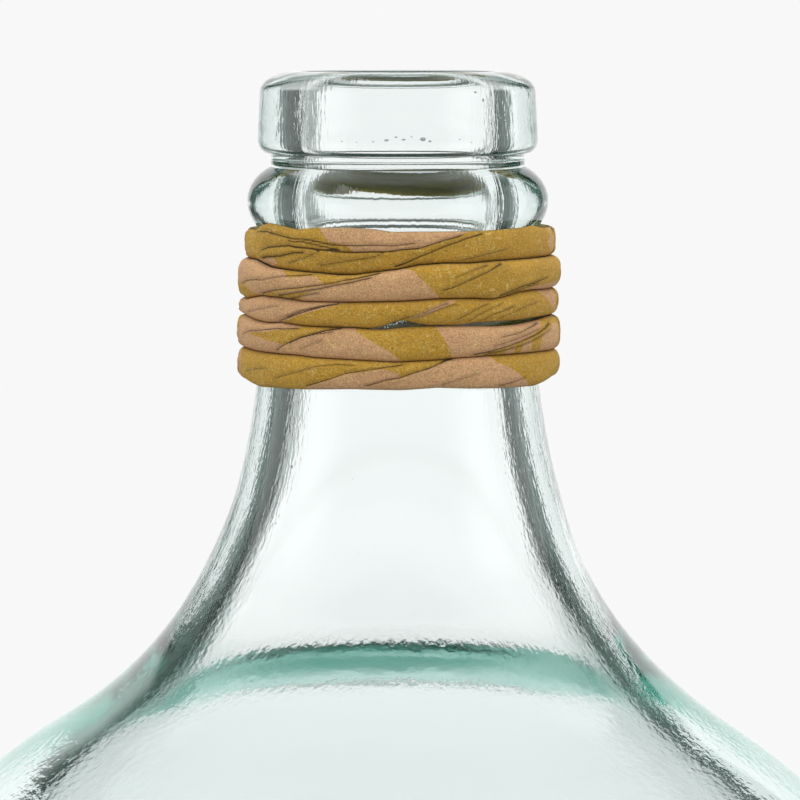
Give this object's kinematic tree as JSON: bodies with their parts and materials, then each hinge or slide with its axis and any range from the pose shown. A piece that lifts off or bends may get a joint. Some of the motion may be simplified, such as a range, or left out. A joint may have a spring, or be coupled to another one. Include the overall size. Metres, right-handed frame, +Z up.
{
  "type": "bottle vase",
  "caption": "Demijohn-shaped clear glass bottle vase with a thick rolled lip, a flared neck and a twisted paper cord wound round the neck.",
  "frame": {"origin": "middle of the base, on the surface that the bottle stands on", "axes": "+Z up along the bottle's axis; -Y towards the viewer of the picture, so the cord's ends are at the back, +Y"},
  "size_m": [0.26, 0.26, 0.41],
  "materials": {
    "glass": "fire-polished recycled glass, faint green, gently rippled",
    "paper_cord": "matt twisted kraft paper, olive gold and tan",
    "adhesive": "clear hot-melt glue, slightly milky"
  },
  "bodies": {
    "root": {"glass_bottle": "glass", "cord_wrap": "paper_cord", "glue_dab_start": "adhesive", "glue_dab_end": "adhesive"}
  },
  "joints": []
}
